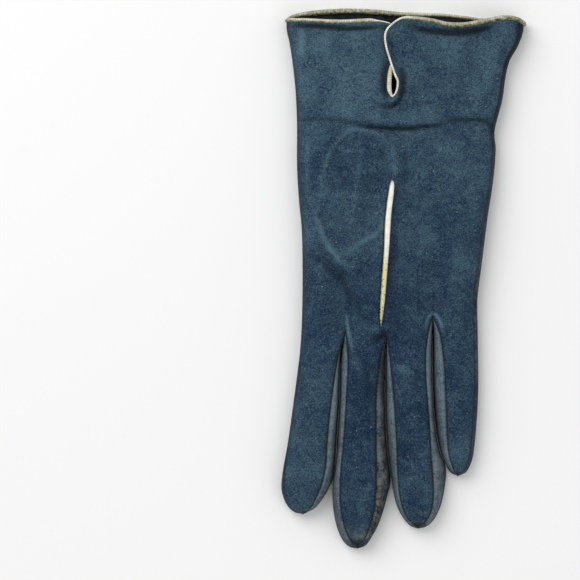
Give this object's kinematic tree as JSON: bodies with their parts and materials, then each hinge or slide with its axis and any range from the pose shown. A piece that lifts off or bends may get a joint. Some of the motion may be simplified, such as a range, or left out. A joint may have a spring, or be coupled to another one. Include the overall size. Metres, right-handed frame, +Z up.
{
  "type": "wrist length dress glove",
  "caption": "Left-hand wrist length glove of thin suede, lying back up, with side strips between the fingers, a folded thumb, a vented cuff in rolled binding and a slit with a strip behind it",
  "frame": {"origin": "middle of the outline seen from above, on the plane the glove lies on", "axes": "+Z up from the back of the glove, +Y from the fingertips to the cuff, +X to the little finger side"},
  "size_m": [0.11, 0.2426, 0.0159],
  "materials": {
    "suede": "napped suede, navy blue",
    "side_suede": "napped suede, greyer navy with the nap laid across",
    "binding": "smooth thin leather, cream, rolled",
    "inset": "smooth thin leather, ivory"
  },
  "bodies": {
    "root": {"trank_back": "suede", "trank_palm": "suede", "thumb": "suede", "fourchette_index": "side_suede", "fourchette_middle_left": "side_suede", "fourchette_middle_right": "side_suede", "fourchette_ring_left": "side_suede", "fourchette_ring_right": "side_suede", "fourchette_little": "side_suede", "cuff_binding": "binding", "slit_inset": "inset"}
  },
  "joints": []
}
